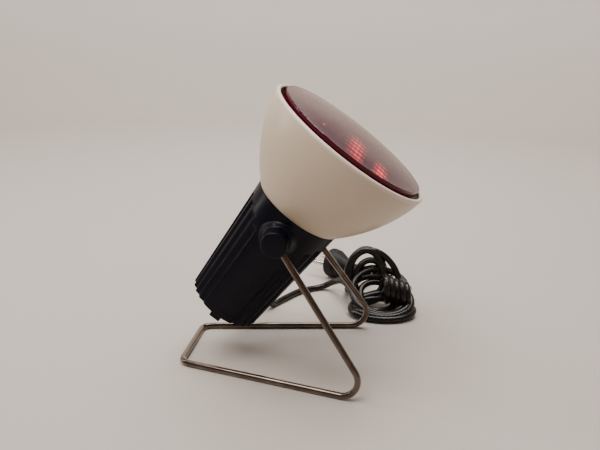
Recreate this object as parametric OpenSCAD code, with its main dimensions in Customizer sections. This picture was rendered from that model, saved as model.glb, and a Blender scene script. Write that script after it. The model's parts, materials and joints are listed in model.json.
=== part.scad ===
// Tabletop infrared heat lamp: a bowl shade with a PAR38 reflector bulb on a ribbed
// tubular housing that tilts on a bent wire stand, with its supply cord coiled beside it.
//
// Frame: +Z is up and the floor is z = 0. The lamp faces +X, the tilt axis lies along Y,
// and the origin is on the floor straight below the middle of the tilt axis.
// Lamp parts are drawn along their own lamp axis: z = 0 at the tilt axis, +z towards the
// light, +x towards the underside. Pivot parts are drawn along u, outwards from the lamp axis.

/* [Stand] */
// Diameter of the bent steel wire
wire_d = 5; // [4:0.5:6]
// Height of the tilt axis above the floor
pivot_h = 110; // [105:0.5:125]
// Distance of each wire upright from the middle plane, at the tilt axis
pivot_half_w = 44; // [43.5:0.5:45]
// Reach of the two floor rails in front of the tilt axis
foot_front = 76.5; // [70:0.5:90]
// Reach of the rear cross wire behind the tilt axis
foot_rear = 75; // [65:0.5:90]
// Half the distance between the floor rails at the front
foot_front_half_w = 64.5; // [60:0.5:75]
// Half the distance between the floor rails at the rear
foot_rear_half_w = 32.5; // [30:0.5:45]

/* [Lamp] */
// Angle of the lamp axis above the horizontal
lamp_angle = 54.7; // [40:0.1:75]
// Outside radius of the bowl shade at its rim
shade_r = 66.4; // [65.5:0.1:67.5]
// Distance from the tilt axis to the rim of the shade
shade_rim_z = 81; // [80.5:0.1:82]
// Thickness of the shade
shade_wall = 1.4; // [1:0.1:1.6]

/* [Housing] */
// Outside radius of the housing at the tilt axis
housing_r = 34.7; // [34.5:0.1:34.9]
// Wall thickness of the housing
housing_wall = 3; // [2.8:0.1:3.2]
// Distance from the tilt axis back to the rear face
housing_rear = 82.5; // [82:0.5:84]
// Angle between neighbouring grooves
groove_pitch = 14.4; // [14:0.1:15]

/* [Cord] */
// Diameter of the supply cord
cord_d = 6; // [5.5:0.1:6]
// Number of turns in the coiled bundle
coil_turns = 6; // [3:1:6]
// Radius of the coiled bundle
coil_r = 27; // [25:1:27]
// Direction of the plug's pins, turned away from -X
plug_turn = -30; // [-40:1:0]

/* [Hidden] */

$fn = 64;
gap = 0.05;                     // running clearance between turning surfaces
cut = 1;                        // overshoot of a cutting solid
wire_r = wire_d / 2;

// Pivot, along u
washer_u = 39.55;               // inner face of the outer friction washer
boss_face_u = 39.5;
boss_inner_u = 29;
boss_r = 10.3;
boss_foot_r = 17;
boss_inner_r = 9;
bush_r = 4.5;
flange_r = 6;
flange_t = 1.2;
cap_r = 9.7;
cap_inner_u = 40;
cap_outer_u = 51.2;
cap_wall = 2;
bend_lap = 0.3;                 // each straight run reaches this far into its bends
bend_swell = 0.05;              // a bend is this much thicker, so that the runs end inside it
axle_bend_r = 3.5;              // centre-line radius where the wire turns in to form the axle
axle_end_u = 24;
washer_t = 1.2;
foot_bend_r = 13;
rear_bend_r = 9;

// Housing, along the lamp axis
taper = 0.0665;                 // growth of the housing radius per millimetre towards the shade
collar_z = 17.4;
split_z = -76;                  // joint between the housing and its rear cap
groove_r = 3.2;
groove_depth = 2;
groove_top_z = 10;              // front end of the middle groove
groove_step = 0.9;              // the others end further back, by this times their place squared
grooves_per_side = 4;           // grooves each way from the middle of the ribbed band
ledge_t = 3;
front_ledge_z = 9.55;           // face that carries the shade
front_ledge_r = 22;
rear_ledge_z = -58.5;           // face that carries the holder plate
rear_ledge_r = 22;
shade_gap = 0.15;
corner_r = 1.8;                 // rounding of the rear edge
post_pcr = 23.5;                // posts for the rear cap's screws
post_turn = 130;
post_r = 4;
post_z = -66;
screw_r = 1.5;
screw_head_r = 2.8;
screw_head_t = 2;
vent_count = 6;

// Shade: a superellipse of revolution, closed by a flat ring at its back
shade_depth = 86;
shade_power = 1.556;
shade_floor_z = 9.6;
shade_hole_r = 22.3;
shade_steps = 26;
rim_bead_r = 1.6;
clamp_screw_pcr = 24.9;         // radius of the circle of clamp ring screws
clamp_ring_r = 27;
clamp_ring_t = 1.5;

// Bulb: the standard PAR38 outline, 121 mm across and 136 mm long, with an E27 cap
lens_r = 60.5;
bulb_tip_z = 91.7;
bulb_len = 136;
lens_z = 84.5;
reflector_rim_z = 77;
reflector_focal = 11.92;
reflector_vertex_z = 4.73;
reflector_back_z = 9.5;
glass_t = 2;
reflector_steps = 18;
skirt_end_z = -16.8;
cap_shell_r = 13;
cap_end_z = -39.8;
thread_pitch = 3.63;
bulb_base_z = bulb_tip_z - bulb_len;

// Lampholder
holder_r = 20;
holder_front_z = -17.8;
holder_floor_z = -47;
holder_bore_r = 14.2;
sleeve_r = 13.4;
sleeve_t = 0.6;
plate_t = 1.5;
plate_r = 27.5;
plate_back_z = rear_ledge_z - plate_t;
plate_screw_x = 24.5;
plate_hole_r = 10;
holder_screw_x = 15;
terminal_x = 5;
terminal_w = 6;

// Cord, where it enters the housing
cord_r = cord_d / 2;
cord_z = -67;
cord_entry_turn = 72;           // from the underside towards the left (+Y)
grommet_out = 14;               // how far the grommet stands out of the housing
grommet_r = 5;
cord_tail_in = 13;              // inner end of the cord's sheath, from the lamp axis
lead_r = 1.1;
clamp_x = 18;
clamp_screw_y = 8;

// Cord on the floor, and its plug
cord_sides = 8;
floor_z = cord_r + 0.2;         // height of the cord's centre where it lies on the floor
coil_steps = 30;                // points per turn
coil_lay_r = 6.5;               // radius of the bundle's own lay
coil_centre = [72, 102, 27.2];
coil_lean = 40;
coil_first = 185;               // direction of the coil's first and last points from its centre
coil_last = 60;
plug_pos = [21, 180, 15];
plug_r = 15;
plug_len = 26;
plug_sleeve = 10;
pin_r = 2.4;
pin_len = 19;
pin_spacing = 19;

// ---------------------------------------------------------------- helpers

function housing_radius(z) = housing_r + taper * z;

function shade_radius(z) =
    shade_r * pow(1 - pow((shade_rim_z - z) / shade_depth, shade_power), 1 / shade_power);

function shade_curve(inset, first_z, last_z) = [
    for (i = [0:shade_steps])
        let (z = first_z + (last_z - first_z) * i / shade_steps)
            [shade_radius(z) - inset, z]
];

function reflector_radius(z) = sqrt(4 * reflector_focal * (z - reflector_vertex_z));

function reflector_curve(inset, first_z, last_z) = [
    for (i = [0:reflector_steps])
        let (z = first_z + (last_z - first_z) * i / reflector_steps)
            [reflector_radius(z) - inset, z]
];

function reversed(points) = [for (i = [len(points) - 1:-1:0]) points[i]];

function unit(v) = v / norm(v);

// Carries lamp parts from the lamp axis to their tilted place on the stand.
module on_lamp() {
    translate([0, 0, pivot_h])
        rotate([0, 90 - lamp_angle, 0])
            children();
}

// Carries a pivot part, drawn along +z = u, to one side: +1 is left (+Y), -1 is right (-Y).
module on_side(side) {
    mirror([0, side < 0 ? 1 : 0, 0])
        rotate([-90, 0, 0])
            children();
}

module on_both_sides() {
    for (side = [1, -1])
        on_side(side)
            children();
}

// Carries stand-side pivot parts to the tilt axis.
module at_pivot() {
    translate([0, 0, pivot_h])
        children();
}

module ring(r_out, r_in, z0, z1) {
    translate([0, 0, z0])
        difference() {
            cylinder(h = z1 - z0, r = r_out);
            translate([0, 0, -cut])
                cylinder(h = z1 - z0 + 2 * cut, r = r_in);
        }
}

module bar(p, q, r) {
    d = q - p;
    translate(p)
        rotate([0, acos(d.z / norm(d)), atan2(d.y, d.x)])
            cylinder(h = norm(d), r = r);
}

// Distance from a corner to where its bend starts.
function bend_reach(p, corner, q, bend) =
    let (half = acos(unit(p - corner) * unit(q - corner)) / 2)
        bend / tan(half);

// Part of e that is square to d, as a direction.
function square_to(d, e) = unit(e - (e * d) * d);

// Round wire through a list of corners, with one bend radius per corner.
module bent_wire(points, bends, r) {
    d = unit(points[1] - points[0]);
    x = square_to(d, unit(points[2] - points[1]));
    y = cross(d, x);
    p = points[0];
    multmatrix([
        [x.x, y.x, d.x, p.x],
        [x.y, y.y, d.y, p.y],
        [x.z, y.z, d.z, p.z]
    ])
        wire_from(points, bends, r, 0, x);
}

// The wire from its i-th point on, drawn along +z; x_dir is the direction that +x stands for.
module wire_from(points, bends, r, i, x_dir) {
    last = len(points) - 1;
    d = unit(points[i + 1] - points[i]);
    start = i == 0 ? 0 : bend_reach(points[i - 1], points[i], points[i + 1], bends[i]);
    stop = i == last - 1 ? 0 : bend_reach(points[i], points[i + 1], points[i + 2], bends[i + 1]);
    run = norm(points[i + 1] - points[i]) - start - stop;
    lap_in = i == 0 ? 0 : bend_lap;
    lap_out = i == last - 1 ? 0 : bend_lap;
    translate([0, 0, -lap_in])
        cylinder(h = run + lap_in + lap_out, r = r);
    if (i < last - 1) {
        e = unit(points[i + 2] - points[i + 1]);
        bend = bends[i + 1];
        turn = acos(d * e);
        side = square_to(d, e);
        translate([0, 0, run])
            rotate(atan2(cross(x_dir, side) * d, x_dir * side))
                translate([bend, 0, 0]) {
                    rotate([90, 0, 180])
                        rotate_extrude(angle = turn)
                            translate([bend, 0])
                                circle(r = r + bend_swell);
                    rotate([0, turn, 0])
                        translate([-bend, 0, 0])
                            wire_from(points, bends, r, i + 1, side * cos(turn) - d * sin(turn));
                }
    }
}

// Closed tube swept along many close points.
module swept_tube(points, r, sides) {
    count = len(points);
    tangents = [
        for (i = [0:count - 1])
            unit(points[min(i + 1, count - 1)] - points[max(i - 1, 0)])
    ];
    ring_points = [
        for (i = [0:count - 1])
            let (side = unit(cross([0.13, 0.21, 1], tangents[i])), up = cross(tangents[i], side))
                for (k = [0:sides - 1])
                    points[i] + r * (cos(360 * k / sides) * side + sin(360 * k / sides) * up)
    ];
    walls = [
        for (i = [0:count - 2], k = [0:sides - 1])
            let (a = i * sides + k, b = i * sides + (k + 1) % sides)
                [a, b, b + sides, a + sides]
    ];
    start_cap = [for (k = [sides - 1:-1:0]) k];
    end_cap = [for (k = [0:sides - 1]) (count - 1) * sides + k];
    polyhedron(ring_points, concat([start_cap], walls, [end_cap]));
}

// Screw along z with its head's seat at z0: the shank goes towards +z, the head towards -z.
module screw(z0, length) {
    translate([0, 0, z0])
        cylinder(h = length, r = screw_r);
    translate([0, 0, z0 - screw_head_t])
        difference() {
            cylinder(h = screw_head_t, r = screw_head_r);
            for (turn = [0, 90])
                rotate(turn)
                    translate([-2, -0.4, -cut])
                        cube([4, 0.8, cut + 1]);
        }
}

// ---------------------------------------------------------------- stand

function upright_end(side) = [0, side * pivot_half_w, pivot_h];
function front_corner(side) = [foot_front, side * foot_front_half_w, wire_r];
function rear_corner(side) = [-foot_rear, side * foot_rear_half_w, wire_r];
function axle_end(side) = [0, side * axle_end_u, pivot_h];

// One length of wire: axle, upright, floor rail, rear cross wire, and back again.
module wire_stand() {
    color("silver")
        bent_wire(
            [
                axle_end(-1), upright_end(-1), front_corner(-1), rear_corner(-1),
                rear_corner(1), front_corner(1), upright_end(1), axle_end(1)
            ],
            [
                0, axle_bend_r, foot_bend_r, rear_bend_r,
                rear_bend_r, foot_bend_r, axle_bend_r, 0
            ],
            wire_r
        );
}

// Hollow cap that clips over the bend of the wire; the upright leaves through its slot.
module pivot_cap(side) {
    slot_end = upright_end(side) + unit(front_corner(side) - upright_end(side)) * 2 * cap_r;
    color([0.07, 0.07, 0.08])
        difference() {
            at_pivot()
                on_side(side)
                    difference() {
                        union() {
                            translate([0, 0, cap_inner_u])
                                cylinder(h = cap_outer_u - cap_inner_u - 1, r = cap_r);
                            translate([0, 0, cap_outer_u - 1])
                                cylinder(h = 1, r1 = cap_r, r2 = cap_r - 1);
                        }
                        translate([0, 0, cap_inner_u - cut])
                            cylinder(h = cap_outer_u - cap_inner_u - cap_wall + cut, r = cap_r - cap_wall);
                    }
            bar(upright_end(side), slot_end, wire_r + gap);
            translate([0, side * -wire_r, 0])
                bar(upright_end(side), slot_end, wire_r + gap);
        }
}

module pivot_cap_left() {
    pivot_cap(1);
}

module pivot_cap_right() {
    pivot_cap(-1);
}

module friction_washers() {
    color("tan")
        at_pivot()
            on_both_sides()
                ring(flange_r, wire_r + gap, washer_u, washer_u + 0.7);
}

module spring_washers() {
    color("dimgray")
        at_pivot()
            on_both_sides()
                ring(6, wire_r + gap, boss_inner_u - 2 * washer_t - gap, boss_inner_u - washer_t - gap);
}

module retaining_rings() {
    color("silver")
        at_pivot()
            on_both_sides()
                ring(5, wire_r, boss_inner_u - 3 * washer_t - gap, boss_inner_u - 2 * washer_t - gap);
}

// ---------------------------------------------------------------- housing

module housing_outline() {
    polygon([
        [0, split_z],
        [housing_radius(split_z), split_z],
        [housing_radius(collar_z), collar_z],
        [0, collar_z]
    ]);
}

// Grooves along the top and the underside; the bands that face the pivots stay smooth.
module grooves() {
    for (band = [0, 180], k = [-grooves_per_side:grooves_per_side])
        rotate(band + k * groove_pitch)
            groove(groove_top_z - groove_step * k * k);
}

module groove(top_z) {
    sink = groove_r - groove_depth;
    z0 = -housing_rear - cut;
    bar([housing_radius(z0) + sink, 0, z0], [housing_radius(top_z) + sink, 0, top_z], groove_r);
}

module housing_bore() {
    rotate_extrude()
        polygon([
            [0, split_z - cut],
            [housing_radius(split_z) - housing_wall, split_z - cut],
            [housing_radius(split_z) - housing_wall, split_z],
            [housing_radius(collar_z) - housing_wall, collar_z],
            [0, collar_z + cut]
        ]);
}

// The space the back of the bowl fills in the collar.
module shade_seat() {
    rotate_extrude()
        polygon(concat(
            [[0, shade_floor_z]],
            shade_curve(-shade_gap, shade_floor_z, collar_z + 2),
            [[0, collar_z + 2]]
        ));
}

module ledge(r_in, z) {
    ring(housing_radius(z) - housing_wall + cut, r_in, z - ledge_t, z);
}

module post_positions() {
    for (turn = [0, 180])
        rotate(post_turn + turn)
            translate([post_pcr, 0, 0])
                children();
}

module housing() {
    color([0.05, 0.05, 0.06])
        on_lamp()
            difference() {
                union() {
                    difference() {
                        union() {
                            rotate_extrude()
                                housing_outline();
                            on_both_sides()
                                translate([0, 0, boss_inner_u])
                                    cylinder(h = boss_face_u - boss_inner_u, r1 = boss_foot_r, r2 = boss_r);
                        }
                        housing_bore();
                    }
                    on_both_sides()
                        translate([0, 0, boss_inner_u])
                            cylinder(h = boss_face_u - boss_inner_u - 2, r = boss_inner_r);
                    ledge(front_ledge_r, front_ledge_z);
                    ledge(rear_ledge_r, rear_ledge_z + ledge_t);
                    post_positions()
                        translate([0, 0, split_z])
                            cylinder(h = post_z - split_z, r = post_r);
                }
                grooves();
                shade_seat();
                on_both_sides()
                    cylinder(h = boss_face_u + cut, r = bush_r);
                post_positions()
                    translate([0, 0, split_z - cut])
                        cylinder(h = 8, r = screw_r);
                at_clamp_screws()
                    translate([0, 0, front_ledge_z - ledge_t - cut])
                        cylinder(h = ledge_t + 2 * cut, r = screw_r);
                at_plate_screws()
                    translate([0, 0, rear_ledge_z - cut])
                        cylinder(h = ledge_t + 2 * cut, r = screw_r);
                at_cord_entry()
                    cylinder(h = 2 * housing_radius(0), r = grommet_r);
            }
}

// Shallow cup that closes the housing, with a finger lug on each smooth band.
module rear_cap() {
    r_split = housing_radius(split_z);
    r_face = r_split - corner_r;
    spigot_r = r_split - housing_wall - gap;
    bore_r = spigot_r - 2.5;
    color([0.05, 0.05, 0.06])
        on_lamp()
            difference() {
                union() {
                    rotate_extrude() {
                        translate([0, -housing_rear])
                            square([r_face, housing_rear + split_z]);
                        translate([0, -housing_rear + corner_r])
                            square([r_split, housing_rear + split_z - corner_r]);
                        translate([r_face, -housing_rear + corner_r])
                            circle(r = corner_r);
                    }
                    ring(spigot_r, spigot_r - 2, split_z - 1, split_z + 3);
                    for (side = [1, -1])
                        translate([-4.5, side * 26 - 2.5, -housing_rear - 3.5])
                            cube([9, 5, 6]);
                }
                grooves();
                difference() {
                    translate([0, 0, -housing_rear + 2.5])
                        cylinder(h = housing_rear + split_z + cut, r = bore_r);
                    post_positions()
                        translate([0, 0, -housing_rear])
                            cylinder(h = housing_rear + split_z, r = post_r);
                }
                post_positions() {
                    translate([0, 0, split_z - 0.3])
                        cylinder(h = 3.3 + cut, r = post_r + 0.2);
                    translate([0, 0, -housing_rear - cut])
                        cylinder(h = housing_rear, r = screw_r + gap);
                    translate([0, 0, -housing_rear - 2 * cut])
                        cylinder(h = 2 * cut + 2.2, r = screw_head_r + 0.2);
                }
                for (i = [0:vent_count - 1])
                    translate([-12, (i - (vent_count - 1) / 2) * 5 - 1, -housing_rear - cut])
                        cube([24, 2, 2.5 + 2 * cut]);
            }
}

module rear_cap_screws() {
    color("silver")
        on_lamp()
            post_positions()
                screw(-housing_rear + 2.2, 11);
}

module pivot_bushes() {
    color("ivory")
        on_lamp()
            on_both_sides() {
                ring(bush_r, wire_r + gap, boss_inner_u - flange_t / 2, boss_face_u);
                ring(flange_r, wire_r + gap, boss_inner_u - flange_t, boss_inner_u);
            }
}

// ---------------------------------------------------------------- shade

module shade() {
    inner_floor_z = shade_floor_z + shade_wall;
    color([0.80, 0.76, 0.68])
        on_lamp()
            difference() {
                rotate_extrude() {
                    polygon(concat(
                        [[shade_hole_r, shade_floor_z]],
                        shade_curve(0, shade_floor_z, shade_rim_z),
                        reversed(shade_curve(shade_wall, inner_floor_z, shade_rim_z)),
                        [[shade_hole_r, inner_floor_z]]
                    ));
                    translate([shade_r - rim_bead_r + 0.2, shade_rim_z])
                        circle(r = rim_bead_r, $fn = 32);
                }
                at_clamp_screws()
                    translate([0, 0, shade_floor_z - cut])
                        cylinder(h = shade_wall + 2 * cut, r = screw_r + gap);
            }
}

module at_clamp_screws() {
    for (turn = [0, 120, 240])
        rotate(turn)
            translate([clamp_screw_pcr, 0, 0])
                children();
}

// Ring inside the bowl; its screws pull the bowl down onto the housing's ledge.
module shade_clamp_ring() {
    z0 = shade_floor_z + shade_wall;
    color("silver")
        on_lamp()
            difference() {
                ring(clamp_ring_r, shade_hole_r, z0, z0 + clamp_ring_t);
                at_clamp_screws()
                    translate([0, 0, z0 - cut])
                        cylinder(h = clamp_ring_t + 2 * cut, r = screw_r + gap);
            }
}

module shade_screws() {
    seat_z = shade_floor_z + shade_wall + clamp_ring_t;
    color("silver")
        on_lamp()
            at_clamp_screws()
                translate([0, 0, seat_z])
                    mirror([0, 0, 1])
                        screw(0, 6.5);
}

// ---------------------------------------------------------------- lampholder

module at_plate_screws() {
    for (side = [1, -1])
        translate([side * plate_screw_x, 0, 0])
            children();
}

module at_holder_screws() {
    for (side = [1, -1])
        translate([side * holder_screw_x, 0, 0])
            children();
}

module at_terminals() {
    for (side = [1, -1])
        translate([0, side * terminal_x, 0])
            children();
}

module holder_plate() {
    color("gainsboro")
        on_lamp()
            difference() {
                ring(plate_r, plate_hole_r, plate_back_z, rear_ledge_z);
                at_plate_screws()
                    translate([0, 0, plate_back_z - cut])
                        cylinder(h = plate_t + 2 * cut, r = screw_r + gap);
                at_holder_screws()
                    translate([0, 0, plate_back_z - cut])
                        cylinder(h = plate_t + 2 * cut, r = screw_r + gap);
                at_cord_clamp_screws()
                    translate([0, 0, plate_back_z - cut])
                        cylinder(h = plate_t + 2 * cut, r = screw_r);
            }
}

module plate_screws() {
    color("silver")
        on_lamp()
            at_plate_screws()
                screw(plate_back_z, 4);
}

// Ceramic body: the bulb's cap goes in at the front, the wires at the back.
module lampholder_body() {
    color("whitesmoke")
        on_lamp()
            difference() {
                translate([0, 0, rear_ledge_z])
                    cylinder(h = holder_front_z - rear_ledge_z, r = holder_r);
                translate([0, 0, holder_floor_z])
                    cylinder(h = holder_front_z - holder_floor_z + cut, r = holder_bore_r);
                translate([0, 0, rear_ledge_z - cut])
                    cylinder(h = holder_floor_z - rear_ledge_z + 2 * cut, r = 1.5);
                at_terminals()
                    translate([-terminal_w / 2, -terminal_w / 2, rear_ledge_z - cut])
                        cube([terminal_w, terminal_w, 4 + cut]);
                at_holder_screws()
                    translate([0, 0, rear_ledge_z - cut])
                        cylinder(h = 8 + cut, r = screw_r);
            }
}

module lampholder_screws() {
    color("silver")
        on_lamp()
            at_holder_screws()
                screw(plate_back_z, 8);
}

// Brass sleeve that takes the bulb's screw cap.
module lampholder_sleeve() {
    color("goldenrod")
        on_lamp()
            ring(sleeve_r + sleeve_t, sleeve_r, holder_floor_z + 2.2, holder_front_z - 1.5);
}

// Sprung brass tongue under the bulb's contact, on a rivet through the ceramic.
module centre_contact() {
    color("goldenrod")
        on_lamp() {
            translate([0, 0, rear_ledge_z + 4.5])
                cylinder(h = holder_floor_z - rear_ledge_z - 4, r = 1.5);
            translate([0, 0, holder_floor_z])
                cylinder(h = 1, r = 4);
            translate([0, 0, holder_floor_z + 1])
                cylinder(h = bulb_base_z - holder_floor_z - 1, r1 = 4, r2 = 3);
        }
}

module terminal_blocks() {
    color("goldenrod")
        on_lamp()
            at_terminals()
                difference() {
                    translate([-terminal_w / 2, -terminal_w / 2, rear_ledge_z - 4])
                        cube([terminal_w, terminal_w, 8]);
                    translate([0, 0, rear_ledge_z - 4 - cut])
                        cylinder(h = 4, r = lead_r);
                    translate([0, 0, rear_ledge_z - 2.2])
                        rotate([0, -90, 0])
                            cylinder(h = terminal_w, r = 1.25);
                }
}

module terminal_screws() {
    color("goldenrod")
        on_lamp()
            at_terminals()
                translate([-lead_r - 0.1, 0, rear_ledge_z - 2.2])
                    rotate([0, -90, 0]) {
                        cylinder(h = 3, r = 1.25);
                        translate([0, 0, terminal_w / 2 - lead_r])
                            cylinder(h = 1.2, r = 1.7);
                    }
}

// ---------------------------------------------------------------- cord inside the lamp

// Turns parts drawn along +x to the side where the cord leaves.
module cord_side() {
    rotate(cord_entry_turn)
        children();
}

// Carries parts drawn along +z to the cord's way out through the side.
module at_cord_entry() {
    cord_side()
        translate([0, 0, cord_z])
            rotate([0, 90, 0])
                children();
}

// Rubber sleeve that stops the cord from kinking where it leaves the housing.
module cord_grommet() {
    wall_x = housing_radius(cord_z);
    color([0.04, 0.04, 0.04])
        on_lamp()
            at_cord_entry()
                difference() {
                    union() {
                        translate([0, 0, wall_x - housing_wall - 3])
                            cylinder(h = 2, r = grommet_r + 0.8);
                        translate([0, 0, wall_x - housing_wall - 1.5])
                            cylinder(h = housing_wall + 3, r = grommet_r);
                        translate([0, 0, wall_x + 1.5])
                            cylinder(h = grommet_out - 1.5, r1 = grommet_r, r2 = cord_r + 0.9);
                    }
                    cylinder(h = 3 * wall_x, r = cord_r);
                }
}

// The cord's sheathed end, from the clamp to just outside the grommet.
module cord_tail() {
    color([0.04, 0.04, 0.04])
        on_lamp()
            at_cord_entry()
                translate([0, 0, cord_tail_in])
                    cylinder(h = housing_radius(cord_z) + grommet_out - cord_tail_in, r = cord_r);
}

module at_cord_clamp_screws() {
    cord_side()
        for (side = [1, -1])
            translate([clamp_x, side * clamp_screw_y, 0])
                children();
}

// Saddle that holds the cord against the holder plate.
module cord_clamp() {
    saddle_h = plate_back_z - cord_z + cord_r + 1.5;
    color("dimgray")
        on_lamp()
            difference() {
                cord_side()
                    translate([clamp_x - 3.5, -clamp_screw_y - 3, plate_back_z - saddle_h])
                        cube([7, 2 * clamp_screw_y + 6, saddle_h]);
                at_cord_entry()
                    cylinder(h = 3 * clamp_x, r = cord_r);
                cord_side()
                    translate([0, -cord_r, cord_z])
                        cube([3 * clamp_x, cord_d, plate_back_z - cord_z + cut]);
                at_cord_clamp_screws()
                    translate([0, 0, plate_back_z - saddle_h - cut])
                        cylinder(h = saddle_h + 2 * cut, r = screw_r + gap);
            }
}

module cord_clamp_screws() {
    saddle_h = plate_back_z - cord_z + cord_r + 1.5;
    color("silver")
        on_lamp()
            at_cord_clamp_screws()
                screw(plate_back_z - saddle_h, saddle_h + plate_t);
}

// Insulated wire from the cord's end to one terminal.
module lead(side) {
    bend = 2.5;
    cord_start = [cos(cord_entry_turn), sin(cord_entry_turn), 0] * (cord_tail_in - 0.1);
    spread = [-sin(cord_entry_turn), cos(cord_entry_turn), 0] * side * 1.3;
    bent_wire(
        [
            cord_start + spread + [0, 0, cord_z],
            [0, side * terminal_x, cord_z],
            [0, side * terminal_x, rear_ledge_z - 1.5]
        ],
        [0, bend, 0],
        lead_r
    );
}

module lead_live() {
    color("sienna")
        on_lamp()
            lead(1);
}

module lead_neutral() {
    color("royalblue")
        on_lamp()
            lead(-1);
}

// ---------------------------------------------------------------- bulb

// Pressed glass lens, a flat dome.
module bulb_lens() {
    dome = bulb_tip_z - lens_z;
    color([0.62, 0.30, 0.28])
        on_lamp()
            translate([0, 0, lens_z])
                rotate_extrude()
                    difference() {
                        polygon(concat([[0, 0]], lens_curve(lens_r, dome)));
                        polygon(concat([[0, -cut]], lens_curve(lens_r - 2 * glass_t, dome - glass_t)));
                    }
}

// Arc of a flat dome, from the lens's edge to its middle.
function lens_curve(r, h) =
    let (ball = (r * r + h * h) / (2 * h))
        [for (i = [16:-1:0]) [r * i / 16, sqrt(ball * ball - pow(r * i / 16, 2)) - ball + h]];

// Glass reflector bowl behind the lens, silvered inside: a paraboloid and a short rim.
module bulb_reflector() {
    color([0.75, 0.72, 0.70])
        on_lamp()
            rotate_extrude()
                polygon(concat(
                    reflector_curve(0, reflector_back_z, reflector_rim_z),
                    [[lens_r, lens_z - 3], [lens_r, lens_z], [lens_r - 2 * glass_t, lens_z]],
                    reversed(reflector_curve(glass_t, reflector_back_z, reflector_rim_z))
                ));
}

// Metal collar between the glass and the screw cap.
module bulb_skirt() {
    r_back = reflector_radius(reflector_back_z);
    color("silver")
        on_lamp()
            rotate_extrude()
                polygon([
                    [r_back - 1, reflector_back_z],
                    [r_back, reflector_back_z],
                    [r_back - 1, 0],
                    [cap_shell_r + 1, skirt_end_z],
                    [cap_shell_r - 1, skirt_end_z],
                    [r_back - 2, 0]
                ]);
}

// Screw cap: a shell with raised thread rings at the standard pitch.
module bulb_screw_cap() {
    color("lightgray")
        on_lamp()
            rotate_extrude() {
                translate([cap_shell_r - 1.2, cap_end_z])
                    square([0.6, skirt_end_z - cap_end_z]);
                for (i = [0:4])
                    translate([cap_shell_r - 1, cap_end_z + 3.5 + i * thread_pitch])
                        circle(r = 1.2, $fn = 24);
            }
}

module bulb_insulator() {
    color([0.1, 0.08, 0.1])
        on_lamp()
            translate([0, 0, bulb_base_z + 1.5])
                cylinder(h = cap_end_z - bulb_base_z - 1.5, r1 = 6, r2 = 11.5);
}

module bulb_contact() {
    color("gray")
        on_lamp()
            translate([0, 0, bulb_base_z])
                cylinder(h = 1.5, r1 = 4, r2 = 5);
}

// Glass foot that carries the filament's supports inside the neck.
module bulb_stem() {
    color([0.85, 0.88, 0.9])
        on_lamp() {
            translate([0, 0, -12])
                cylinder(h = 14, r1 = 11, r2 = 4);
        }
}

// Coiled filament, bent to a horseshoe around the reflector's focus.
module filament() {
    color("dimgray")
        on_lamp()
            translate([0, 0, reflector_vertex_z + reflector_focal])
                rotate([0, 0, -135])
                    rotate_extrude(angle = 270)
                        translate([6, 0])
                            circle(r = 0.7, $fn = 16);
}

module filament_supports() {
    focus_z = reflector_vertex_z + reflector_focal;
    color("silver")
        on_lamp()
            for (turn = [-134, 134, 0])
                rotate(turn)
                    bent_wire(
                        [[2.5, 0, 2], [2.5, 0, 5], [6, 0, focus_z - 1.05]],
                        [0, 1, 0],
                        0.45
                    );
}

// ---------------------------------------------------------------- cord and plug on the floor

// Smooth curve through all but the first and last of the points.
function curve_through(p, steps) = [
    for (i = [1:len(p) - 3], k = [0:steps - 1])
        let (t = k / steps)
            0.5 * (
                2 * p[i] + (p[i + 1] - p[i - 1]) * t
                + (2 * p[i - 1] - 5 * p[i] + 4 * p[i + 1] - p[i + 2]) * t * t
                + (3 * p[i] - p[i - 1] - 3 * p[i + 1] + p[i + 2]) * t * t * t
            )
];

// Place of a point that is given in the lamp's own frame.
function lamp_place(p) = [
    p.x * sin(lamp_angle) + p.z * cos(lamp_angle),
    p.y,
    pivot_h - p.x * cos(lamp_angle) + p.z * sin(lamp_angle)
];

// Point of the cord's way out of the housing, at a distance from the lamp axis.
function cord_way(reach) =
    lamp_place([reach * cos(cord_entry_turn), reach * sin(cord_entry_turn), cord_z]);

// A laid bundle: each turn of the ring moves one place round the bundle's own section.
function coil_point(turn) =
    let (
        lay = 360 * turn / coil_turns - 90,
        r = coil_r + coil_lay_r * cos(lay),
        a = coil_first + 360 * turn,
        h = coil_lay_r * sin(lay)
    )
        coil_centre + [
            r * cos(a),
            r * sin(a) * cos(coil_lean) - h * sin(coil_lean),
            r * sin(a) * sin(coil_lean) + h * cos(coil_lean)
        ];

// Turns from the coil's first point to its last.
function coil_length() = coil_turns - (coil_first - coil_last) / 360;

// Point on the plug's own axis, behind its face.
function plug_way(x) = plug_pos + x * [cos(plug_turn), sin(plug_turn), 0];

// The bundle, and the stretch of cord from it to the plug.
module cord_coil() {
    ring_end = coil_point(coil_length());
    turns = [for (i = [0:coil_length() * coil_steps]) coil_point(i / coil_steps)];
    sleeve_end = plug_len + plug_sleeve;
    tail = curve_through(
        [
            coil_point(coil_length() - 0.1), ring_end, plug_way(sleeve_end + 6),
            plug_way(sleeve_end + 0.3), plug_way(plug_len)
        ],
        6
    );
    color([0.05, 0.05, 0.05])
        swept_tube(
            concat(turns, [for (i = [1:len(tail) - 1]) tail[i]], [plug_way(sleeve_end + 0.3)]),
            cord_r,
            cord_sides
        );
}

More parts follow.
